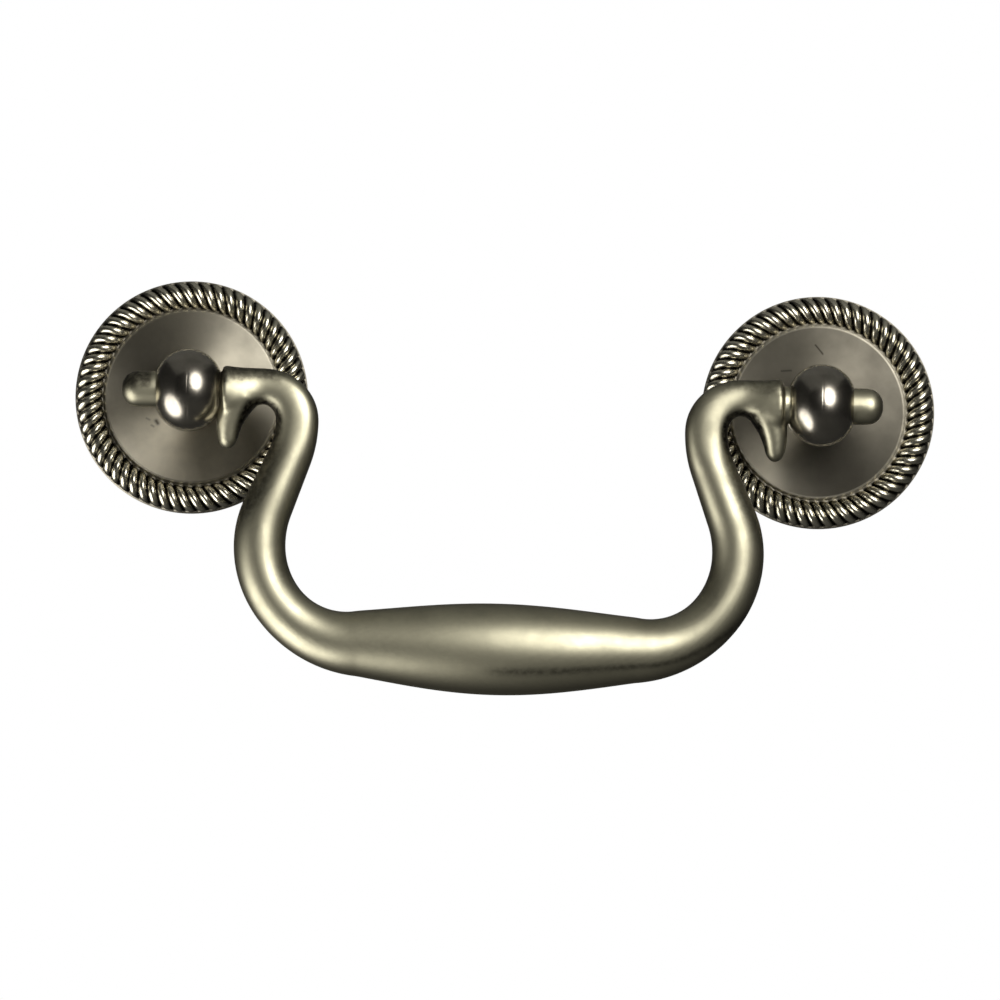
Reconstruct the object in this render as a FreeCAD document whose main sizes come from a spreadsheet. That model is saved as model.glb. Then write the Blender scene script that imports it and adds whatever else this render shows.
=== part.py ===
import FreeCAD, Part
import math
import os
import re
import Sketcher

# Bail pull for a drawer front: a swelled bail with swan necks swings on two pins,
# which turn in ball-headed posts, and each post clamps a rosette with a roped rim.
# Millimetres and degrees. +X is to the right, -Y is out of the drawer front, +Z is up.
# The origin is on the drawer front, midway between the posts.

SIZES = {
    # whole pull
    "centres": 76.2,  # post to post
    "pin_reach": 13.5,  # drawer front to pin axis
    # rosette
    "rosette_d": 28.3,
    "rosette_edge": 1.4,  # thickness under the rope
    "rope_d": 3.2,
    "rope_margin": 0.1,  # plain rim outside the rope
    "rope_strands": 60,
    "rope_lay": 9.0,  # turn of a strand round the rosette, outer foot to inner foot
    "rope_sink": 0.3,  # how deep its foot is let into the rosette
    "groove_depth": 0.45,
    "disc_d": 21.2,
    "disc_level": 2.2,  # thickness at the disc, on which the post's collar seats
    "back_recess": 0.7,
    "back_rim": 2.4,
    # post
    "spigot_d": 5.9,
    "spigot_gap": 0.1,
    "spigot_short": 0.15,  # spigot ends this far above the drawer front
    "collar_d": 8.0,
    "collar_thick": 0.8,
    "stem_d": 6.0,
    "stem_flare": 0.6,
    "ball_d": 10.0,
    "ball_w": 7.6,
    "ball_land": 0.15,  # flat ring round the pin hole
    "screw_d": 3.45,
    "screw_depth": 7.5,
    # pins
    "pin_d": 4.4,
    "pin_gap": 0.08,
    "pin_out": 3.9,  # beyond the ball
    "pin_round": 1.9,
    "side_play": 0.6,
    "rest_shift": 0.3,  # how far left of the middle the bail hangs in that play
    # bail
    "grip_drop": 30.3,  # pin axis to the grip's centreline
    "grip_d": 11.05,
    "swell_reach": 28.0,  # from the middle to where the swell ends
    "bar_d": 6.25,
    "neck_spread": 57.5,  # between the necks' centrelines, just above the corners
    "corner_bend": 12.0,
    "neck_lean": 22.0,
    "root_d": 5.15,  # where the neck turns into the hook
    "hook_bend": 4.15,
    "hook_reach": 4.95,  # hook's middle to the shoulder's face
    "crown_rise": 0.65,  # hook's centreline above the pin axis
    "crown_d": 4.35,
    "shoulder_d": 6.1,
    "shoulder_round": 0.35,
    # claw under each shoulder
    "claw_root": 0.8,  # its sections start this far below the pin axis
    "claw_drop": 6.6,
    "claw_bend": 8.8,
    "claw_belly": 5.4,  # widest point, below the pin axis
    "claw_set": 0.7,  # widest point of its centreline, inside the shoulder's face
    "claw_root_d": 4.3,
    "claw_tip_d": 1.8,
}


def make_sheet(doc):
    """The driving sizes, one row each."""
    sheet = doc.addObject("Spreadsheet::Sheet", "Sizes")
    for row, (name, value) in enumerate(SIZES.items(), start=1):
        sheet.set(f"A{row}", name)
        sheet.set(f"B{row}", str(value))
        sheet.setAlias(f"B{row}", name)
    doc.recompute()
    return sheet


def bound(words):
    """An expression in which each size's name stands for its cell."""
    return re.sub(
        r"[a-z_]+", lambda m: f"Sizes.{m[0]}" if m[0] in SIZES else m[0], words
    )


def worth(body, words):
    """The number that an expression gives now."""
    value = body.evalExpression(bound(words))
    return float(getattr(value, "Value", value))


def new_body(doc, name, x="0", y="0"):
    body = doc.addObject("PartDesign::Body", name)
    body.Label = name
    body.setExpression("Placement.Base.x", bound(x))
    body.setExpression("Placement.Base.y", bound(y))
    return body


def new_sketch(body, name, plane, offset=None):
    """A sketch on one of the body's own planes, moved by expressions if offset is given."""
    sketch = body.newObject("Sketcher::SketchObject", name)
    support = next(f for f in body.Origin.OriginFeatures if f.Role == plane)
    sketch.AttachmentSupport = [(support, "")]
    sketch.MapMode = "FlatFace"
    for path, words in (offset or {}).items():
        sketch.setExpression(f"AttachmentOffset.{path}", bound(words))
    return sketch


def pin_point(sketch, body, edge, end, x, y):
    """Holds one end of an edge at a place given by two expressions."""
    for kind, words, axis in (("DistanceX", x, -2), ("DistanceY", y, -1)):
        if words == "0":
            sketch.addConstraint(Sketcher.Constraint("PointOnObject", edge, end, axis))
            continue
        value = worth(body, words)
        index = sketch.addConstraint(Sketcher.Constraint(kind, edge, end, value))
        sketch.setExpression(f"Constraints[{index}]", bound(words))


def draw_outline(body, sketch, corners):
    """A closed outline of straight edges."""
    points = [FreeCAD.Vector(worth(body, x), worth(body, y), 0) for x, y in corners]
    for start, end in zip(points, points[1:] + points[:1]):
        sketch.addGeometry(Part.LineSegment(start, end))
    for i, (x, y) in enumerate(corners):
        before = (i - 1) % len(corners)
        sketch.addConstraint(Sketcher.Constraint("Coincident", before, 2, i, 1))
        pin_point(sketch, body, i, 1, x, y)


def draw_circle(body, sketch, diameter):
    middle = FreeCAD.Vector(0, 0, 0)
    across = FreeCAD.Vector(0, 0, 1)
    sketch.addGeometry(Part.Circle(middle, across, worth(body, diameter) / 2))
    sketch.addConstraint(Sketcher.Constraint("Coincident", 0, 3, -1, 1))
    index = sketch.addConstraint(
        Sketcher.Constraint("Diameter", 0, worth(body, diameter))
    )
    sketch.setExpression(f"Constraints[{index}]", bound(diameter))


def revolve(body, name, sketch, axis):
    turned = body.newObject("PartDesign::Revolution", name)
    turned.Profile = sketch
    turned.ReferenceAxis = (sketch, [axis])
    turned.Angle = 360
    return turned


def loft(body, name, sketches):
    lofted = body.newObject("PartDesign::AdditiveLoft", name)
    lofted.Profile = sketches[0]
    lofted.Sections = sketches[1:]
    lofted.Ruled = True
    return lofted


def rounded(centre_x, centre_y, radius, first, last, steps):
    """Corners along an arc, from one angle to another."""
    corners = []
    for i in range(steps + 1):
        angle = f"(({first}) + (({last}) - ({first})) * {i / steps:.4g})"
        corners.append(
            (
                f"{centre_x} + {radius} * cos({angle})",
                f"{centre_y} + {radius} * sin({angle})",
            )
        )
    return corners


ROPE_RING = "rosette_d / 2 - rope_margin - rope_d / 2"
ROPE_TILTS = (-90, -30, 30, 90)
STRAND_SHAPE = ((0, 0), (0.3, 0.95), (0.7, 0.95))  # share of the pitch, share of the height


def rosette_blank(doc, name):
    """The turned rosette: hollow back, disc and the land under the rope."""
    body = new_body(doc, f"{name}_blank")
    hole = "spigot_d / 2 + spigot_gap"
    profile = new_sketch(body, "rosette_profile", "XY_Plane")
    corners = [
        (hole, "-back_recess"),
        ("rosette_d / 2 - back_rim", "-back_recess"),
        ("rosette_d / 2 - back_rim", "0"),
        ("rosette_d / 2", "0"),
        ("rosette_d / 2", "-rosette_edge"),
        ("disc_d / 2", "-rosette_edge"),
        ("disc_d / 2", "-disc_level"),
        (hole, "-disc_level"),
    ]
    draw_outline(body, profile, corners)
    revolve(body, "rosette_blank", profile, "V_Axis")
    return body


def rope_points(body):
    """Rows of points over the rope, one row for each step round the rosette."""
    ring = worth(body, ROPE_RING)
    radius = worth(body, "rope_d / 2")
    depth = worth(body, "groove_depth")
    edge = worth(body, "rosette_edge")
    sink = worth(body, "rope_sink")
    strands = round(worth(body, "rope_strands"))
    lay = worth(body, "rope_lay")
    rows = []
    for strand in range(strands):
        for share, height in STRAND_SHAPE:
            thick = radius - depth * (1 - height)
            row = []
            for tilt in ROPE_TILTS:
                turn = math.radians((strand + share) * 360 / strands - lay * tilt / 180)
                across = ring - thick * math.sin(math.radians(tilt))
                level = edge + thick * math.cos(math.radians(tilt))
                row.append((across, turn, level))
            sunk = [(*row[-1][:2], edge - sink), (*row[0][:2], edge - sink)]
            rows.append(
                [
                    FreeCAD.Vector(r * math.cos(t), -y, r * math.sin(t))
                    for r, t, y in row + sunk
                ]
            )
    return rows


def rope_ring(doc, name, body):
    """The rope laid round the rosette, its strands faceted, its foot sunk in the blank."""
    rows = rope_points(body)
    wide = len(rows[0])
    points = [point for row in rows for point in row]
    triangles = []
    for i in range(len(rows)):
        for j in range(wide):
            here = i * wide + j
            above = i * wide + (j + 1) % wide
            beside = (i + 1) % len(rows) * wide + j
            across = (i + 1) % len(rows) * wide + (j + 1) % wide
            triangles += [(here, above, beside), (beside, above, across)]
    skin = Part.Shape()
    skin.makeShapeFromMesh((points, triangles), 0.001)
    solid = Part.Solid(skin)
    if solid.Volume < 0:
        solid.reverse()
    rope = doc.addObject("Part::Feature", f"{name}_rope")
    rope.Shape = solid
    return rope


def make_rosette(doc, name, x):
    blank = rosette_blank(doc, name)
    rosette = doc.addObject("Part::Fuse", name)
    rosette.Label = name
    rosette.Base = blank
    rosette.Tool = rope_ring(doc, name, blank)
    rosette.setExpression("Placement.Base.x", bound(x))
    return rosette


def make_post(doc, name, x):
    """The turned post: spigot, collar, stem and the ball round the pin."""
    body = new_body(doc, name, x)
    profile = new_sketch(body, "post_profile", "XY_Plane")
    collar_top = "(disc_level + collar_thick)"
    flare_x = "stem_d / 2 + stem_flare"
    corners = [
        ("0", "-spigot_short"),
        ("spigot_d / 2", "-spigot_short"),
        ("spigot_d / 2", "-disc_level"),
        ("collar_d / 2", "-disc_level"),
        ("collar_d / 2", f"-{collar_top}"),
        *rounded(flare_x, f"-{collar_top} - stem_flare", "stem_flare", 90, 180, 1),
        ("stem_d / 2", "-pin_reach"),
        ("0", "-pin_reach"),
    ]
    draw_outline(body, profile, corners)
    revolve(body, "turned_post", profile, "V_Axis")
    land = "(pin_d / 2 + pin_gap + ball_land)"
    rise = f"(ball_d / 2 - {land})"
    crown = f"((ball_w^2 / 4 + {rise}^2) / 2 / {rise})"
    half = f"asin(ball_w / 2 / {crown})"
    barrel = new_sketch(body, "ball_profile", "XY_Plane", {"Base.y": "-pin_reach"})
    corners = [
        ("-ball_w / 2", "0"),
        ("ball_w / 2", "0"),
        *rounded("0", f"ball_d / 2 - {crown}", crown, f"90 deg - {half}", f"90 deg + {half}", 4),
    ]
    draw_outline(body, barrel, corners)
    revolve(body, "ball", barrel, "H_Axis")
    eye = new_sketch(body, "eye_section", "YZ_Plane", {"Base.x": "-pin_reach"})
    draw_circle(body, eye, "pin_d + 2 * pin_gap")
    hole = body.newObject("PartDesign::Pocket", "pin_hole")
    hole.Profile = eye
    hole.Type = "ThroughAll"
    hole.Midplane = True
    bore = new_sketch(body, "bore_profile", "XY_Plane")
    corners = [
        ("0", "0"),
        ("screw_d / 2", "0"),
        ("screw_d / 2", "-spigot_short - screw_depth"),
        ("0", "-spigot_short - screw_depth - screw_d / 2"),
    ]
    draw_outline(body, bore, corners)
    tapped = body.newObject("PartDesign::Groove", "screw_bore")
    tapped.Profile = bore
    tapped.ReferenceAxis = (bore, ["V_Axis"])
    tapped.Angle = 360
    return body


FACE_X = "(centres / 2 - ball_w / 2 - side_play)"
HOOK_X = f"({FACE_X} - hook_reach)"
HOOK_Z = "(crown_rise - hook_bend)"
CORNER_X = "(neck_spread / 2 - corner_bend)"
CORNER_Z = "(corner_bend - grip_drop)"


def swell(run):
    """Thickness of the grip at a run from the middle along the centreline."""
    share = f"min(({run}) / swell_reach; 1)"
    return f"bar_d + (grip_d - bar_d) * cos(90 * {share})^2"


def taper(share):
    return f"bar_d + (root_d - bar_d) * {share}"


def bail_stations():
    """Half of the bail's centreline, middle to shoulder: x, z, lean and diameter."""
    run = f"{CORNER_X} / 2"
    stations = [(run, "-grip_drop", "0", swell(run))]
    for turn in (0, 22.5, 45, 67.5, 90):
        x = f"{CORNER_X} + corner_bend * sin({turn})"
        z = f"{CORNER_Z} - corner_bend * cos({turn})"
        run = f"{CORNER_X} + corner_bend * {turn} * pi / 180"
        stations.append((x, z, f"{turn}", swell(run)))
    height = f"({HOOK_Z} - {CORNER_Z})"
    inset = f"(neck_spread / 2 - {HOOK_X} + hook_bend)"
    bend = f"(({height} - {inset} / tan(neck_lean)) / 2 / tan(neck_lean / 2))"
    for share, thin in ((0.5, 0.14), (1, 0.36)):
        turn = f"neck_lean * {share}"
        x = f"neck_spread / 2 - {bend} * (1 - cos({turn}))"
        z = f"{CORNER_Z} + {bend} * sin({turn})"
        stations.append((x, z, f"90 + {turn}", taper(thin)))
    for share, thin in ((1, 0.86), (0.5, 0.95)):
        turn = f"neck_lean * {share}"
        x = f"{HOOK_X} - hook_bend + {bend} * (1 - cos({turn}))"
        z = f"{HOOK_Z} - {bend} * sin({turn})"
        stations.append((x, z, f"90 + {turn}", taper(thin)))
    for lean, thin in ((90, 0), (60, 0.19), (30, 0.69), (0, 1)):
        x = f"{HOOK_X} - hook_bend * sin({lean})"
        z = f"{HOOK_Z} + hook_bend * cos({lean})"
        stations.append((x, z, f"{lean}", f"root_d + (crown_d - root_d) * {thin}"))
    middle = f"{HOOK_X} + hook_reach / 2"
    fall = "-1.5 * atan(crown_rise / hook_reach)"
    stations.append((middle, "crown_rise / 2", fall, "(crown_d + shoulder_d) / 2"))
    stations.append((f"{FACE_X} - shoulder_round", "0", "0", "shoulder_d"))
    return stations


def cross_section(body, name, side, station):
    """A round section square to the centreline, right of the middle or left of it."""
    x, z, lean, diameter = station
    offset = {
        "Base.y": z,
        "Base.z": f"{side} * ({x})",
        "Rotation.Roll": f"{-side} * ({lean})",
    }
    section = new_sketch(body, name, "YZ_Plane", offset)
    draw_circle(body, section, diameter)
    return section


def bail_bar(body):
    """The bar from one shoulder to the other in one sweep of round sections."""
    half = bail_stations()
    middle = ("0", "-grip_drop", "0", "grip_d")
    row = [(-1, s) for s in reversed(half)] + [(1, middle)] + [(1, s) for s in half]
    sections = [
        cross_section(body, f"bar_section_{i}", side, station)
        for i, (side, station) in enumerate(row, 1)
    ]
    return loft(body, "bar", sections)


def claw(body, name, side):
    """The tapered claw that curls down under a shoulder."""
    centre_x = f"({FACE_X} - claw_set - claw_bend)"
    first = "asin((claw_root - claw_belly) / claw_bend)"
    last = "asin((claw_drop - claw_belly) / claw_bend)"
    sections = []
    for share in (0, 0.6, 1):
        turn = f"({first} + ({last} - {first}) * {share})"
        x = f"{centre_x} + claw_bend * cos({turn})"
        z = f"-claw_belly - claw_bend * sin({turn})"
        width = f"claw_root_d + (claw_tip_d - claw_root_d) * {share}"
        station = (x, z, f"-90 deg - {turn}", width)
        label = f"{name}_section_{len(sections) + 1}"
        sections.append(cross_section(body, label, side, station))
    return loft(body, name, sections)


def pin(body, name, side):
    """The shoulder's rounded face and the round-ended pin that turns in the ball."""
    face = f"{side} * {FACE_X}"
    back = f"{side} * ({FACE_X} - shoulder_round)"
    end = f"{side} * (centres / 2 + ball_w / 2 + pin_out)"
    shaft = f"{side} * (centres / 2 + ball_w / 2 + pin_out - pin_round)"
    profile = new_sketch(body, f"{name}_profile", "XY_Plane")
    first, last = (0, 90) if side > 0 else (180, 90)
    corners = [
        (back, "0"),
        (end, "0"),
        *rounded(shaft, "pin_d / 2 - pin_round", "pin_round", first, last, 2),
        (face, "pin_d / 2"),
        (face, "shoulder_d / 2 - shoulder_round"),
        (back, "shoulder_d / 2"),
    ]
    draw_outline(body, profile, corners)
    return revolve(body, name, profile, "H_Axis")


def make_bail(doc):
    body = new_body(doc, "bail", "-rest_shift", "-pin_reach")
    bail_bar(body)
    for name, side in (("left", -1), ("right", 1)):
        pin(body, f"{name}_pin", side)
        claw(body, f"{name}_claw", side)
    return body


def check(doc, nodes):
    """Stops the build where a feature failed or a shape is unsound."""
    for item in doc.Objects:
        if "Invalid" in item.State or "Error" in item.State:
            raise ValueError(f"{item.Name} failed: {item.State}")
    for node in nodes:
        if node.Shape.isNull() or not node.Shape.isValid():
            raise ValueError(f"{node.Name} is unsound")


def main():
    os.makedirs("parts", exist_ok=True)
    doc = FreeCAD.newDocument("bail_pull")
    make_sheet(doc)
    nodes = [make_bail(doc)]
    for side, x in (("left", "-centres / 2"), ("right", "centres / 2")):
        nodes.append(make_rosette(doc, f"{side}_rosette", x))
        nodes.append(make_post(doc, f"{side}_post", x))
    doc.recompute()
    check(doc, nodes)
    for node in nodes:
        node.Shape.exportStep(f"parts/{node.Label}.step")


main()
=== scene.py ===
import math

import bpy
import numpy as np
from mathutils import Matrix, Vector


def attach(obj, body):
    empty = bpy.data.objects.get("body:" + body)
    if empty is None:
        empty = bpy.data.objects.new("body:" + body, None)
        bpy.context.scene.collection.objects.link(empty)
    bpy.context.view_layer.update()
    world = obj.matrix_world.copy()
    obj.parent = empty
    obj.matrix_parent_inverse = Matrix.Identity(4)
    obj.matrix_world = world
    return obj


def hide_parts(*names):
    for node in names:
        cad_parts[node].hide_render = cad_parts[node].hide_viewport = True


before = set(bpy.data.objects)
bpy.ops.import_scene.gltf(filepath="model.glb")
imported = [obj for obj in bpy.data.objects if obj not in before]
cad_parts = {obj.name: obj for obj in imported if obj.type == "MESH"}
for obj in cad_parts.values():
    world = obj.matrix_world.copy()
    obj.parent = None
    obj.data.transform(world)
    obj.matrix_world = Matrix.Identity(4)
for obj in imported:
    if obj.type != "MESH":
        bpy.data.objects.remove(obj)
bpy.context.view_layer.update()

# Sizes in millimetres, as in the part. mesh_piece() and post_place() turn them into metres.
MM = 0.001
CENTRES = 76.2
PIN_REACH = 13.5

# The bail hangs this far to the left in its play
REST_SHIFT = 0.3

# Rosette: radii and, as negative levels, how far its faces stand off the wall
HOLE_R = 3.05
HOLLOW_R = 11.75
HOLLOW_Y = -0.7
ROSETTE_R = 14.14
ROSETTE_EDGE = 1.4
DISC_R = 10.55
DISC_Y = -2.05
DISC_CROWN = 0.14
DISC_ROUND = 0.2
SEAT_R = 4.4
ROPE_R = 1.6
ROPE_RING = ROSETTE_R - 0.1 - ROPE_R
ROPE_INSET = 0.005
STRANDS = 60
STRAND_STEPS = 12
LAY = 9.0
VALLEY = 0.5

# Post: spigot, collar, stem with its tapped hole, and the barrel-shaped ball
SPIGOT_R = 2.95
COLLAR_R = 4.0
COLLAR_Y = -2.21
STEM_R = 3.0
STEM_END = -10.9
TAP_R = 1.725
THREAD_ENDS = (-7.6, -0.3)
THREAD_PITCH = 0.7
THREAD_DEPTH = 0.26
BALL_R = 5.0
BALL_LAND_R = 2.43
BALL_HALF_W = 3.8
BALL_INSET = 0.01
BORE_R = 2.28
BORE_EDGE = 0.08
SEAM_DEPTH = 0.012
SEAM_W = 0.07

# Bail: centreline of its right half from the grip's middle to the shoulder, and diameters along it
GRIP_Z = -30.3
GRIP_D = 11.03
BOW = 0.3
SWELL_REACH = 28.0
BAR_D = 6.25
CORNER = (16.75, -18.3)
CORNER_R = 12.0
NECK_LEAN = math.radians(22)
ROOT_D = 5.15
HOOK = (28.75, -3.5)
HOOK_R = 4.15
HOOK_TURN = 86
CROWN_D = 4.35
SHOULDER_D = 6.1
FACE_X = 33.7
PIN_R = 2.2
PIN_END = 45.79
CLAW_INSET = 0.8
CLAW_ROOT_Z = -0.4
CLAW_ROOT_D = 4.5
CLAW_TIP_D = 1.8
CLAW_TIP_ROUND = 1.1
CLAW_DROP = 7.0
CLAW_BELLY = 5.4
CLAW_BEND = 8.8
VOXEL = 0.22


# Meshes


def mesh_piece(name, points, closed_u, closed_v, place=(0, 0, 0)):
    """A grid of points in millimetres as a mesh object; rows close up where asked."""
    points = np.asarray(points, dtype=float)
    rows, cols = points.shape[:2]
    index = np.arange(rows * cols).reshape(rows, cols)
    a = index if closed_u else index[:-1]
    b = np.roll(index, -1, axis=0) if closed_u else index[1:]
    if closed_v:
        quads = np.stack([a, b, np.roll(b, -1, 1), np.roll(a, -1, 1)], -1)
    else:
        quads = np.stack([a[:, :-1], b[:, :-1], b[:, 1:], a[:, 1:]], -1)
    faces = quads.reshape(-1, 4).tolist()
    if not closed_u:
        faces.append(index[0].tolist())
        faces.append(index[-1][::-1].tolist())
    mesh = bpy.data.meshes.new(name)
    mesh.from_pydata((points.reshape(-1, 3) * MM).tolist(), [], faces)
    mesh.validate()
    mesh.shade_smooth()
    piece = bpy.data.objects.new(name, mesh)
    piece.location = place
    bpy.context.scene.collection.objects.link(piece)
    face_outward(mesh)
    return piece


def face_outward(mesh):
    """Turns the faces so that the mesh's volume counts as positive."""
    mesh.calc_loop_triangles()
    corners = np.zeros(len(mesh.vertices) * 3)
    mesh.vertices.foreach_get("co", corners)
    corners = corners.reshape(-1, 3)
    tris = np.zeros(len(mesh.loop_triangles) * 3, dtype=int)
    mesh.loop_triangles.foreach_get("vertices", tris)
    a, b, c = (corners[tris.reshape(-1, 3)[:, k]] for k in range(3))
    if np.einsum("ij,ij->i", a, np.cross(b, c)).sum() < 0:
        mesh.flip_normals()


def shade(piece, name, values):
    """Stores one number for each point, which the material reads by name."""
    layer = piece.data.attributes.new(name, "FLOAT", "POINT")
    layer.data.foreach_set("value", np.asarray(values, dtype=np.float32).ravel())


def post_place(side, level=0.0):
    """Where a rosette, stem or ball sits on the left (-1) or right (1), in metres."""
    return (side * CENTRES / 2 * MM, level * MM, 0)


def smooth_step(u):
    """0 to 1 with soft ends."""
    u = np.clip(u, 0, 1)
    return u * u * (3 - 2 * u)


def rise(value, start, width):
    """0 up to the start, 1 from a width further on, soft in between."""
    return smooth_step((value - start) / width)


def rounded_corner(x, y, radius, first, last, steps=5):
    """Points along a small arc, angles in degrees."""
    angles = np.radians(np.linspace(first, last, steps))
    return [(x + radius * math.cos(a), y + radius * math.sin(a)) for a in angles]


def turned(profile, count, axis_x=False):
    """Rings of points about the Y axis, or about X, from pairs (radius, place)."""
    profile = np.asarray(profile, dtype=float)
    turn = np.linspace(0, 2 * math.pi, count, endpoint=False)
    radius = profile[None, :, 0]
    along = np.broadcast_to(profile[None, :, 1], (count, len(profile)))
    c = radius * np.cos(turn)[:, None]
    s = radius * np.sin(turn)[:, None]
    return np.stack([along, c, s] if axis_x else [c, along, s], -1)


# Rosette


def strand_height(share):
    """Height across a strand, 0 to 1: rounded on top, sharp where it meets the next."""
    return 1 - np.abs(2 * (share % 1) - 1) ** 2.3


def plain_rows(points, twist):
    """Rows of the profile off the rope: radius, level, no tilt, and twist."""
    return [(r, y, None, twist) for r, y in points]


def rosette_profile():
    """Half a section, hole to hole: rows of radius, level, rope tilt (or None) and twist."""
    out = LAY / 2
    flat_r = DISC_R - DISC_ROUND
    back = [(HOLE_R, -0.85), (3.2, HOLLOW_Y), (5.1, HOLLOW_Y), (8.0, HOLLOW_Y), (11.6, HOLLOW_Y)]
    back += [(HOLLOW_R, -0.55), (HOLLOW_R, -0.1), (11.85, 0.0)]
    edge = [(13.9, 0.0)] + rounded_corner(ROSETTE_R - 0.2, -0.2, 0.2, 80, 0, 4)
    edge += [(ROSETTE_R, -0.6), (ROSETTE_R, -1.0)]
    edge += rounded_corner(ROSETTE_R - 0.25, -1.15, 0.25, 0, -60, 4)
    front = [(10.8, -1.35), (10.7, -1.33), (10.62, -1.4), (10.6, -1.6), (10.6, -1.8)]
    front += rounded_corner(flat_r, DISC_Y + DISC_ROUND, DISC_ROUND, 0, -88)
    for share in np.linspace(0.02, 1, 44):
        front.append((flat_r + (SEAT_R - flat_r) * share, DISC_Y - DISC_CROWN * share))
    seat = DISC_Y - DISC_CROWN
    front += [(4.1, seat), (3.2, seat), (HOLE_R, -2.05), (HOLE_R, -1.4)]
    rope = [(None, None, tilt, -LAY * tilt / 180) for tilt in np.linspace(-84, 90, 34)]
    return plain_rows(back, 0.0) + plain_rows(edge, out) + rope + plain_rows(front, -out)


# Nicks and scratches on each disc: two ends (x, z), width and depth of tone
MARKS = {
    -1: [
        ((-4.2, -3.05), (-4.0, -3.35), 0.22, 1.0),
        ((-5.4, -2.75), (-5.0, -2.95), 0.10, 0.5),
        ((-4.75, -3.6), (-4.5, -3.75), 0.12, 0.6),
    ],
    1: [
        ((-1.8, 9.6), (-0.7, 8.4), 0.09, 0.5),
        ((-0.7, 8.4), (0.4, 7.1), 0.07, 0.4),
        ((-4.6, 4.9), (-3.4, 5.0), 0.08, 0.3),
    ],
}

# Clouds on each disc, set where the lamps glint and where they don't: darker ones are painted shade
# and paler ones (negative depth) painted highlight; middle and half width in degrees from 3 o'clock,
# and depth
PAINTED_LIGHT_CLOUDS = {
    -1: [(150, 40, 0.16), (240, 45, -0.24)],
    1: [(40, 45, 0.05), (222, 25, -0.27), (285, 35, 0.08)],
}

# Soot of each disc's even coat, the right disc's deeper than the left's as painted shade, of all else
# but the rope, and of a full mark
COATS_AND_SHADE = {-1: 0.44, 1: 0.59}
EDGE_SOOT = 0.45
MARK_SOOT = 0.4

# The coat lies within this radius, and marks show in front of this level
COAT_R = 10.3
MARK_LEVEL = -2.1


def disc_coat_and_painted_light(side, turn):
    """Tone round a disc: an even tarnish coat, with darker clouds of painted shade and paler clouds of
    painted highlight.
    """
    coat = COATS_AND_SHADE[side]
    for middle, width, depth in PAINTED_LIGHT_CLOUDS[side]:
        away = (np.degrees(turn) - middle + 180) % 360 - 180
        coat = coat + depth * np.exp(-((away / width) ** 2))
    return coat


def marked(points, marks):
    """Tone of the marks at each point in front of the mark level."""
    tone = np.zeros(points.shape[:-1])
    flat = points[..., [0, 2]]
    for start, end, width, depth in marks:
        start, along = np.array(start), np.subtract(end, start)
        share = np.clip((flat - start) @ along / (along @ along), 0, 1)
        away = np.linalg.norm(flat - start - share[..., None] * along, axis=-1)
        tone = np.maximum(tone, depth * np.exp(-((away / width) ** 2)))
    return tone * (points[..., 1] < MARK_LEVEL)


def rosette_ring(row, side, share):
    """One ring of points along the rosette's profile, and their soot and painted shade."""
    r, y, tilt, twist = row
    turn = np.radians(share * 360 / STRANDS + twist)
    if tilt is not None:
        valley = 1 - strand_height(share)
        thick = ROPE_R - ROPE_INSET - VALLEY * valley
        r = ROPE_RING - thick * math.sin(math.radians(tilt))
        y = -ROSETTE_EDGE - thick * math.cos(math.radians(tilt))
        # Patina in the valleys between strands, and painted shade that darkens the rope's inner and
        # outer slopes
        soot_and_shade = np.clip(valley + 0.5 * abs(tilt / 90) ** 3, 0, 1)
    elif r < COAT_R:
        soot_and_shade = disc_coat_and_painted_light(side, turn)
    else:
        soot_and_shade = np.full(turn.shape, EDGE_SOOT)
    level = np.broadcast_to(y, turn.shape)
    return np.stack([r * np.cos(turn), level, r * np.sin(turn)], -1), soot_and_shade


def rope_faces(rows, count):
    """1 for each face of the rope and 0 for the others, in the mesh's order."""
    rope = np.array([tilt is not None for _, _, tilt, _ in rows])
    return np.tile(rope & np.roll(rope, -1), count).astype(np.int32)


def make_rosette(name, side):
    """Turned disc with a roped rim and a hollow back; the rope takes the second material."""
    rows = rosette_profile()
    count = STRANDS * STRAND_STEPS
    share = np.arange(count) / STRAND_STEPS
    rings = [rosette_ring(row, side, share) for row in rows]
    points = np.stack([ring for ring, _ in rings], axis=1)
    soot_and_shade = np.stack([tone for _, tone in rings], axis=1)
    piece = mesh_piece(name, points, True, True, post_place(side))
    piece.data.polygons.foreach_set("material_index", rope_faces(rows, count))
    # Darkness at each point: patina and painted shade on the rope, a tarnish coat with clouds of
    # painted shade and painted highlight on the disc, and the marks
    shade(piece, "soot_and_shade", np.clip(soot_and_shade + MARK_SOOT * marked(points, MARKS[side]), 0, 1))
    return piece


# Post


def stem_profile():
    """Half a section of spigot, collar and stem, which ends inside the ball, and the hole's tip."""
    edge, fillet = 0.2, 0.6
    profile = [(1.98, -0.15), (2.75, -0.15), (SPIGOT_R, -0.35), (SPIGOT_R, COLLAR_Y)]
    profile += [(3.85, COLLAR_Y), (COLLAR_R, -2.35)]
    profile += rounded_corner(COLLAR_R - edge, -2.8, edge, 0, -90)
    profile += rounded_corner(STEM_R + fillet, -3.6, fillet, 90, 180, 8)
    profile += [(STEM_R, -5.0), (STEM_R, -8.0), (STEM_R, -10.0), (2.9, STEM_END)]
    profile += [(0.02, STEM_END), (0.02, -9.35), (TAP_R, -7.65)]
    return profile


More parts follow.
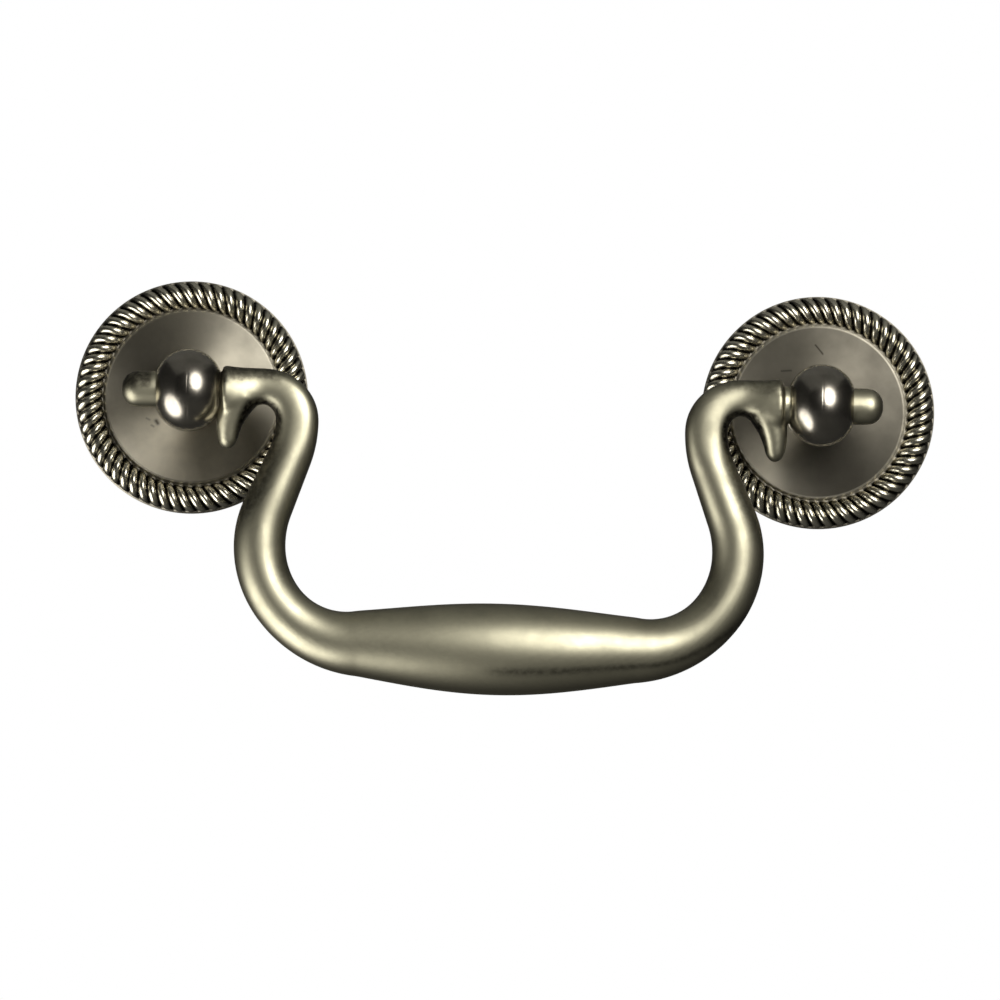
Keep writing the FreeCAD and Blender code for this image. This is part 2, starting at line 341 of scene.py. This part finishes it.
def make_post_stem(name, side):
    """Spigot, collar and stem, with the tapped hole in the back."""
    outside = stem_profile()
    deep, shallow = THREAD_ENDS
    levels = np.linspace(deep, shallow, 110)
    points = turned(outside + [(TAP_R, y) for y in levels] + [(1.9, -0.2)], 64)
    turn = np.arange(len(points))[:, None] / len(points)
    phase = (levels / THREAD_PITCH + turn) % 1
    fade = np.clip((shallow - levels) / 0.5, 0, 1) * np.clip((levels - deep) / 0.8, 0, 1)
    radius = TAP_R + THREAD_DEPTH * (1 - np.abs(2 * phase - 1)) * fade
    thread = slice(len(outside), len(outside) + len(levels))
    points[:, thread, 0] = radius * np.cos(2 * math.pi * turn)
    points[:, thread, 2] = radius * np.sin(2 * math.pi * turn)
    return mesh_piece(name, points, True, True, post_place(side))


def ball_profile():
    """Half the barrel's section, bore to bore, with the parting line as a faint groove."""
    bulge = BALL_R - BALL_LAND_R
    crown = (BALL_HALF_W**2 + bulge**2) / 2 / bulge
    half = math.asin(BALL_HALF_W / crown)
    coarse = crown * np.sin(np.linspace(-half, half, 61))
    fine = np.linspace(-0.3, 0.3, 15)
    places = np.sort(np.append(coarse[np.abs(coarse) > 0.32], fine))
    seam = SEAM_DEPTH * np.exp(-((places / SEAM_W) ** 2))
    radius = BALL_R - crown + np.sqrt(crown**2 - places**2) - BALL_INSET - seam
    profile = [(BORE_R, BORE_EDGE - BALL_HALF_W), (BORE_R + BORE_EDGE, -BALL_HALF_W)]
    profile += list(zip(radius, places))
    profile += [(BORE_R + BORE_EDGE, BALL_HALF_W), (BORE_R, BALL_HALF_W - BORE_EDGE), (BORE_R, 0.0)]
    return profile


def make_ball(name, side):
    """The barrel round the pin, with its casting's parting line."""
    points = turned(ball_profile(), 144, axis_x=True)
    return mesh_piece(name, points, True, True, post_place(side, -PIN_REACH))


# Bail


def swell(run):
    """Diameter of grip and bar at a run from the grip's middle."""
    share = min(run / SWELL_REACH, 1)
    return BAR_D + (GRIP_D - BAR_D) * math.cos(math.pi / 2 * share) ** 2


def grip_rows():
    """Half the grip, whose ends rise a little."""
    rows = []
    for x in np.linspace(0, CORNER[0], 40):
        rows.append((x, GRIP_Z + BOW * (x / CORNER[0]) ** 2, 0.0, swell(x)))
    return rows


def corner_rows():
    """The round corner between grip and neck."""
    rows = []
    for t in np.linspace(3, 90, 40):
        a = math.radians(t)
        x = CORNER[0] + CORNER_R * math.sin(a)
        z = CORNER[1] - CORNER_R * math.cos(a) + BOW * (1 - t / 90)
        rows.append((x, z, t, swell(CORNER[0] + CORNER_R * a)))
    return rows


def neck_rows():
    """The swan neck: two equal bends that lead from the corner in to the hook."""
    low_x, low_z = CORNER[0] + CORNER_R, CORNER[1]
    top_x, top_z = HOOK[0] - HOOK_R, HOOK[1]
    height = top_z - low_z
    bend = (height - (low_x - top_x) / math.tan(NECK_LEAN)) / 2 / math.tan(NECK_LEAN / 2)
    places = []
    for t in np.linspace(0, NECK_LEAN, 16)[1:]:
        places.append((low_x - bend * (1 - math.cos(t)), low_z + bend * math.sin(t), t))
    for t in np.linspace(NECK_LEAN, 0, 16):
        places.append((top_x + bend * (1 - math.cos(t)), top_z - bend * math.sin(t), t))
    rows = []
    for x, z, t in places:
        share = smooth_step((z - low_z) / height * 0.97 + 0.03)
        rows.append((x, z, 90 + math.degrees(t), BAR_D + (ROOT_D - BAR_D) * share))
    return rows


def hook_rows():
    """The hook over the top of the neck."""
    rows = []
    for t in np.linspace(HOOK_TURN, 0, 24):
        a = math.radians(t)
        d = ROOT_D + (CROWN_D - ROOT_D) * smooth_step((HOOK_TURN - t) / HOOK_TURN)
        rows.append((HOOK[0] - HOOK_R * math.sin(a), HOOK[1] + HOOK_R * math.cos(a), t, d))
    return rows


def shoulder_rows():
    """The shoulder, which sinks from the hook's crest to the pins' axis and grows thicker."""
    crest = HOOK[1] + HOOK_R
    reach = FACE_X - 0.3 - HOOK[0]
    rows = []
    for u in np.linspace(0.06, 1, 18):
        slope = -math.degrees(math.atan(crest * math.pi / 2 * math.sin(math.pi * u) / reach))
        d = CROWN_D + (SHOULDER_D - CROWN_D) * smooth_step(u)
        rows.append((HOOK[0] + reach * u, crest * (1 + math.cos(math.pi * u)) / 2, slope, d))
    return rows


def bail_half():
    """Right half of the bail's centreline: rows of x, z, lean in degrees and diameter."""
    return grip_rows() + corner_rows() + neck_rows() + hook_rows() + shoulder_rows()


def sweep(rows, count=72, deep=1.0, flat=0.0):
    """Sections square to a centreline in the XZ plane, deeper than round or flatter in front."""
    x, z, lean, d = np.asarray(rows).T
    lean = np.radians(lean)
    turn = np.linspace(0, 2 * math.pi, count, endpoint=False)
    across = (d / 2)[:, None] * np.cos(turn)
    power, reach = 3.4, 0.93
    squarish = -reach * (1 - np.abs(np.cos(turn)) ** power) ** (1 / power)
    front = np.where(np.sin(turn) < 0, squarish - np.sin(turn), 0)
    depth = (d / 2 * deep)[:, None] * (np.sin(turn) + np.outer(flat * np.ones(len(x)), front))
    right = x[:, None] - np.sin(lean)[:, None] * across
    up = z[:, None] + np.cos(lean)[:, None] * across
    return np.stack([right, depth, up], -1)


def claw_points(side):
    """The claw under a shoulder, which bends inward and ends in a rounded tip."""
    centre_x = FACE_X - CLAW_INSET - CLAW_BEND
    first = math.asin((-CLAW_ROOT_Z - CLAW_BELLY) / CLAW_BEND)
    last = math.asin((CLAW_DROP - CLAW_BELLY) / CLAW_BEND)
    rows = []
    for t in np.linspace(first, last, 40):
        share = (t - first) / (last - first)
        d = CLAW_ROOT_D + (CLAW_TIP_D - CLAW_ROOT_D) * share**1.25
        left = (last - t) * CLAW_BEND
        if left < CLAW_TIP_ROUND:
            d *= math.sqrt(max(1 - (1 - left / CLAW_TIP_ROUND) ** 2, 0.004))
        x = centre_x + CLAW_BEND * math.cos(t)
        z = -CLAW_BELLY - CLAW_BEND * math.sin(t)
        rows.append((side * x, z, side * (-90 - math.degrees(t)), d))
    return sweep(rows, 48, np.linspace(1.16, 1.05, len(rows)))


def pin_points(side):
    """Shoulder's face and pin, turned about the pin axis."""
    edge, tip = 0.3, 1.89
    profile = [(0.01, 30.5), (PIN_R, 30.5), (PIN_R, 32.6), (3.0, 33.2)]
    profile += [(y, x) for x, y in rounded_corner(FACE_X - edge, 2.75, edge, 90, 0)]
    profile += [(PIN_R, FACE_X + 0.02), (PIN_R, 36.0), (PIN_R, 40.0), (PIN_R, 43.5)]
    profile += [(y, x) for x, y in rounded_corner(PIN_END - tip, 0.3, tip, 90, 0, 12)]
    profile += [(0.01, PIN_END)]
    points = turned(profile, 72, axis_x=True)
    points[..., 0] *= side
    return points.swapaxes(0, 1)


def join(pieces):
    """Joins the pieces' meshes into the first piece."""
    for piece in bpy.context.selected_objects:
        piece.select_set(False)
    for piece in pieces:
        piece.select_set(True)
    bpy.context.view_layer.objects.active = pieces[0]
    bpy.ops.object.join()
    return pieces[0]


def bail_soot_and_shade(mesh):
    """Patina and painted shade in the hooks' hollows, painted shade on the shoulders' tops, a painted
    shadow of the ball on the left pin's end, and tarnish under the grip.
    """
    points = np.zeros(len(mesh.vertices) * 3)
    normals = np.zeros_like(points)
    mesh.vertices.foreach_get("co", points)
    mesh.vertices.foreach_get("normal", normals)
    x, z = (points.reshape(-1, 3)[:, [0, 2]] / MM).T
    nx, ny, nz = normals.reshape(-1, 3).T
    to_x, to_z = np.sign(x) * HOOK[0] - x, HOOK[1] - z
    away = np.hypot(to_x, to_z) + 0.01
    inward = (nx * to_x + nz * to_z) / away

    # Depth of tone, and for each limit where the darkening starts and how far on it is full
    # Patina and painted shade on the hooks' inner faces
    hollow_patina_and_shade = 0.9 * rise(inward, 0.35, 0.35) * rise(-away, -8.0, 5.0)
    # Painted shadow of the ball on the top of the left pin's end
    pin_top_shadow = 0.75 * rise(-x, 41.9, 0.6) * rise(nz, -0.25, 0.5)
    shoulder = rise(np.abs(x), 24, 4) * (np.abs(x) < 34)
    # Painted shade on the shoulders' tops, deeper on the left
    shoulder_top_shade = (0.6 - 0.1 * np.sign(x)) * shoulder * rise(nz, 0.02, 0.26)
    grip = rise(-z, 22, 3) * rise(x, -3, 5) * (ny < 0)
    streak = 0.6 * grip * np.exp(-(((nz + 0.52) / 0.1) ** 2))
    return np.maximum.reduce([hollow_patina_and_shade, pin_top_shadow, shoulder_top_shade, streak])


def melt_together(piece):
    """Turns joined shapes into one even skin with blended joints."""
    remesh = piece.modifiers.new("remesh", "REMESH")
    remesh.mode = "VOXEL"
    remesh.voxel_size = VOXEL * MM
    remesh.use_smooth_shade = True
    relax = piece.modifiers.new("relax", "SMOOTH")
    relax.factor = 0.5
    relax.iterations = 10
    for modifier in ("remesh", "relax"):
        bpy.ops.object.modifier_apply(modifier=modifier)
    piece.data.shade_smooth()


def make_bail():
    """One casting: grip, corners, necks, hooks, shoulders, claws and pins."""
    half = bail_half()
    centreline = [(-x, z, -lean, d) for x, z, lean, d in reversed(half[1:])] + half
    flat = 0.6 * rise(np.array([z for _, z, _, _ in centreline]), -9.0, 5.0)
    parts = [mesh_piece("bail_casting", sweep(centreline, flat=flat), False, True)]
    for side in (-1, 1):
        parts.append(mesh_piece("pin", pin_points(side), False, True))
        parts.append(mesh_piece("claw", claw_points(side), False, True))
    bail = join(parts)
    bail.location = (-REST_SHIFT * MM, -PIN_REACH * MM, 0)
    bpy.context.view_layer.update()
    melt_together(bail)
    shade(bail, "soot_and_shade", bail_soot_and_shade(bail.data))
    return bail


# Materials


class Nodes:
    """Shorthand for building a node tree."""

    def __init__(self, tree):
        self.tree = tree

    def add(self, kind, inputs=None, **settings):
        node = self.tree.nodes.new(kind)
        for name, value in settings.items():
            setattr(node, name, value)
        for name, value in (inputs or {}).items():
            self.feed(node.inputs[name], value)
        return node

    def feed(self, socket, value):
        if isinstance(value, bpy.types.NodeSocket):
            self.tree.links.new(value, socket)
        else:
            socket.default_value = value

    def noise(self, scale, detail=4.0):
        where = self.add("ShaderNodeTexCoord").outputs["Object"]
        inputs = {"Vector": where, "Scale": scale, "Detail": detail, "Roughness": 0.55}
        return self.add("ShaderNodeTexNoise", inputs).outputs["Fac"]

    def attribute(self, name):
        return self.add("ShaderNodeAttribute", attribute_name=name).outputs["Fac"]

    def spread(self, value, low, high, to_low=0.0, to_high=1.0):
        ends = {"From Min": low, "From Max": high, "To Min": to_low, "To Max": to_high}
        return self.add("ShaderNodeMapRange", {"Value": value, **ends}).outputs["Result"]

    def math(self, operation, a, b):
        node = self.add("ShaderNodeMath", operation=operation)
        self.feed(node.inputs[0], a)
        self.feed(node.inputs[1], b)
        return node.outputs[0]

    def mix(self, share, a, b):
        node = self.add("ShaderNodeMix", {"Factor": share}, data_type="RGBA")
        self.feed(node.inputs[6], a)
        self.feed(node.inputs[7], b)
        return node.outputs[2]


class MaterialNodes(Nodes):
    """A new material's node tree, with its shader."""

    def __init__(self, name):
        self.material = bpy.data.materials.new(name)
        self.material.use_nodes = True
        super().__init__(self.material.node_tree)
        self.shader = self.tree.nodes["Principled BSDF"]

    def set(self, **values):
        """Feeds the shader's sockets; a name's underscores stand for spaces."""
        for name, value in values.items():
            self.feed(self.shader.inputs[name.replace("_", " ")], value)


# Colours of the plating where it is clean, of the bail's flanks (worn finish and painted shade) and of
# soot and painted shade
DISC = (0.95, 0.89, 0.73, 1)
ROPE = (0.90, 0.855, 0.69, 1)
WORN = (0.66, 0.63, 0.465, 1)
BALL = (0.5, 0.465, 0.4, 1)
FLANK_WEAR_AND_SHADE = (0.10, 0.09, 0.07, 1)
DARK = (0.02, 0.017, 0.013, 1)

# Scales of the noise: clouds, patches in the soot and painted shade, and fine grain
CLOUD = 260.0
PATCH = 1500.0
GRAIN = 2600.0

# The side of the bail that is rubbed bright and kept lit, in its own frame; its flanks darken away
# from it, partly as painted shade
FRONT_RUBBED_AND_LIT = (0.0, -0.99, 0.1)


def metal(name, base, tarnish, rough):
    """Antique nickel: cloudy tarnish and roughness with a fine grain, in n.colour and the shader."""
    n = MaterialNodes(name)
    cloud = n.noise(CLOUD)
    fine = n.noise(GRAIN, 3.0)
    n.colour = n.mix(n.spread(cloud, 0.35, 0.75, 0.0, tarnish), base, DARK)
    grain = n.math("ADD", cloud, n.math("MULTIPLY", fine, 0.4))
    relief = n.add("ShaderNodeBump", {"Height": fine, "Strength": 0.12, "Distance": 0.00002})
    n.set(
        Metallic=1.0,
        Base_Color=n.colour,
        Roughness=n.spread(grain, 0.45, 0.95, *rough),
        Normal=relief.outputs["Normal"],
    )
    return n


def soot_and_shade_metal(name, base, tarnish, rough):
    """The metal with soot, patina and painted shade where the piece's own numbers ask for it."""
    n = metal(name, base, tarnish, rough)
    n.set(Base_Color=n.mix(n.spread(n.attribute("soot_and_shade"), 0.22, 0.75), n.colour, DARK))
    return n


def disc_metal():
    """A turned disc that glints across its rings."""
    n = soot_and_shade_metal("disc_antique_and_shade", DISC, tarnish=0.25, rough=(0.46, 0.54))
    tangent = n.add("ShaderNodeTangent", direction_type="RADIAL", axis="Y")
    n.set(Anisotropic=0.88, Anisotropic_Rotation=0.25, Tangent=tangent.outputs["Tangent"])
    return n.material


def bail_metal():
    """Satin nickel, rubbed bright along the front and darker on its flanks, partly as painted shade,
    under soot and painted shade.
    """
    n = metal("bail_antique_and_shade", WORN, tarnish=0.3, rough=(0.4, 0.48))
    outward = n.add("ShaderNodeTexCoord").outputs["Normal"]
    facing = n.add("ShaderNodeVectorMath", operation="DOT_PRODUCT")
    n.feed(facing.inputs[0], outward)
    n.feed(facing.inputs[1], FRONT_RUBBED_AND_LIT)
    # Flanks darken as they turn from the front: rubbed finish, partly painted shade
    flank_wear_and_shade = n.spread(facing.outputs["Value"], 0.3, 0.85, 0.65, 0.0)
    patches = n.spread(n.noise(PATCH), 0.35, 0.6, 0.75, 1.1)
    # Soot and painted shade from the piece's own numbers, broken into patches
    soot_and_shade = n.math("MULTIPLY", n.attribute("soot_and_shade"), patches)
    n.set(Base_Color=n.mix(soot_and_shade, n.mix(flank_wear_and_shade, n.colour, FLANK_WEAR_AND_SHADE), DARK))
    return n.material


# Stage


# The view: elevation and roll in degrees, the rest in metres but the sensor, which is in millimetres
ELEVATION = -3.4
ROLL = 1.42
AIM = (-0.0003, -0.0135, -0.01232)
DISTANCE = 1.085
WIDTH = 0.1202
SENSOR = 36.0

FLOOR_Z = -0.5
FLOOR_HALF = 8.0
FLOOR_COLOUR = (0.86, 0.86, 0.85, 1)

# Strength of the world as light, and where it is seen or mirrored
WORLD_LIGHT = 0.5
WORLD_SEEN = 1.0

# Lamps: direction, distance and size in metres, and power in watts
LAMP_COLOUR = (1, 0.98, 0.94)
LAMPS = {
    "key_light": ((0.42, -0.83, 0.37), 0.7, (0.46, 0.62), 4.05),
    "low_light": ((-0.73, -0.26, -0.62), 0.4, (0.36, 0.4), 1.2),
}

# Flags round the object, seen only in its gloss: place in metres and grey
FLAG_SIZE = 3.4
FLAGS = {
    "front_flag": ((0, -1.6, 0), 0.01),
    "left_flag": ((-1.5, 0.1, 0), 0.04),
    "right_flag": ((1.5, 0.1, 0), 0.03),
    "top_flag": ((0, 0.1, 1.5), 0.25),
    "low_flag": ((0, 0, -0.48), 0.05),
    "back_flag": ((0, 1.6, 0), 0.15),
}


def stage_piece(name, data):
    """An object of the studio, which isn't part of the pull."""
    piece = bpy.data.objects.new(name, data)
    bpy.context.scene.collection.objects.link(piece)
    return piece


def flat_square(name, corners, colour, rough):
    """A flat four-cornered mesh with a plain material."""
    mesh = bpy.data.meshes.new(name)
    mesh.from_pydata([tuple(corner) for corner in corners], [], [(0, 1, 2, 3)])
    n = MaterialNodes(name)
    n.set(Base_Color=colour, Roughness=rough)
    mesh.materials.append(n.material)
    return stage_piece(name, mesh)


def studio_flag(name, centre, grey):
    """A flat card that faces the object and is seen only in its gloss."""
    centre = Vector(centre)
    facing = (-centre).to_track_quat("Z", "Y")
    half = FLAG_SIZE / 2
    square = ((-half, -half, 0), (half, -half, 0), (half, half, 0), (-half, half, 0))
    corners = [facing @ Vector(corner) + centre for corner in square]
    flag = flat_square(name, corners, (grey, grey, grey * 0.95, 1), 0.9)
    for ray in ("camera", "diffuse", "transmission", "shadow", "volume_scatter"):
        setattr(flag, f"visible_{ray}", False)


def softbox(name, direction, distance, size, power):
    """A warm oval lamp that looks at the middle of the pull."""
    lamp = bpy.data.lights.new(name, "AREA")
    lamp.shape = "ELLIPSE"
    lamp.size, lamp.size_y = size
    lamp.energy = power
    lamp.color = LAMP_COLOUR
    piece = stage_piece(name, lamp)
    piece.location = Vector(direction).normalized() * distance
    piece.rotation_euler = piece.location.to_track_quat("Z", "Y").to_euler()


def make_world():
    """White where it is seen or mirrored, plain soft grey as light."""
    world = bpy.data.worlds.new("studio")
    bpy.context.scene.world = world
    world.use_nodes = True
    n = Nodes(world.node_tree)
    n.tree.nodes.clear()
    path = n.add("ShaderNodeLightPath").outputs
    mirrored = n.math("MAXIMUM", path["Is Camera Ray"], path["Is Glossy Ray"])
    seen = n.math("MAXIMUM", mirrored, path["Is Transmission Ray"])
    level = n.spread(seen, 0.0, 1.0, WORLD_LIGHT, WORLD_SEEN)
    light = n.add("ShaderNodeBackground", {"Color": (1, 1, 1, 1), "Strength": level})
    n.add("ShaderNodeOutputWorld", {"Surface": light.outputs[0]})


def make_floor():
    """A wide pale floor below the pull."""
    s, z = FLOOR_HALF, FLOOR_Z
    corners = [(-s, -s, z), (s, -s, z), (s, s, z), (-s, s, z)]
    flat_square("floor", corners, FLOOR_COLOUR, 0.8)


def make_camera():
    """The photograph's view: a long lens, a little from below and a little tilted."""
    camera = bpy.data.cameras.new("camera")
    camera.sensor_width = SENSOR
    camera.lens = SENSOR * DISTANCE / WIDTH
    camera.clip_end = 20.0
    elevation = math.radians(ELEVATION)
    back = Vector((0, -math.cos(elevation), math.sin(elevation)))
    piece = bpy.data.objects.new("camera", camera)
    piece.location = Vector(AIM) + back * DISTANCE
    piece.rotation_euler = back.to_track_quat("Z", "Y").to_euler()
    piece.rotation_euler.rotate_axis("Z", math.radians(ROLL))
    bpy.context.scene.collection.objects.link(piece)
    bpy.context.scene.camera = piece


# Build


def dress():
    """Builds the pieces, gives each its finish, ties it to its body and hides the solid it stands for.
    """
    disc = disc_metal()
    rope = soot_and_shade_metal("rope_antique_and_shade", ROPE, tarnish=0.06, rough=(0.24, 0.29)).material
    post = metal("post_antique", BALL, tarnish=0.5, rough=(0.21, 0.28)).material
    bail_skin = bail_metal()
    for side, word in ((-1, "left"), (1, "right")):
        plate = make_rosette(f"{word}_rosette_turned", side)
        stem = make_post_stem(f"{word}_post_stem", side)
        ball = make_ball(f"{word}_post_ball", side)
        for piece, materials, slot in (
            (plate, (disc, rope), "rosette_nickel"),
            (stem, (post,), "post_nickel"),
            (ball, (post,), "post_nickel"),
        ):
            for material in materials:
                piece.data.materials.append(material)
            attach(piece, "base")
        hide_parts(f"{word}_rosette")
        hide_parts(f"{word}_post")
    bail = make_bail()
    bail.data.materials.append(bail_skin)
    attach(bail, "bail")
    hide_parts("bail")


dress()
make_world()
make_floor()
make_camera()
for lamp_name, lamp_values in LAMPS.items():
    softbox(lamp_name, *lamp_values)
for flag_name, (flag_place, flag_grey) in FLAGS.items():
    studio_flag(flag_name, flag_place, flag_grey)

bpy.context.scene.view_settings.view_transform = "Standard"
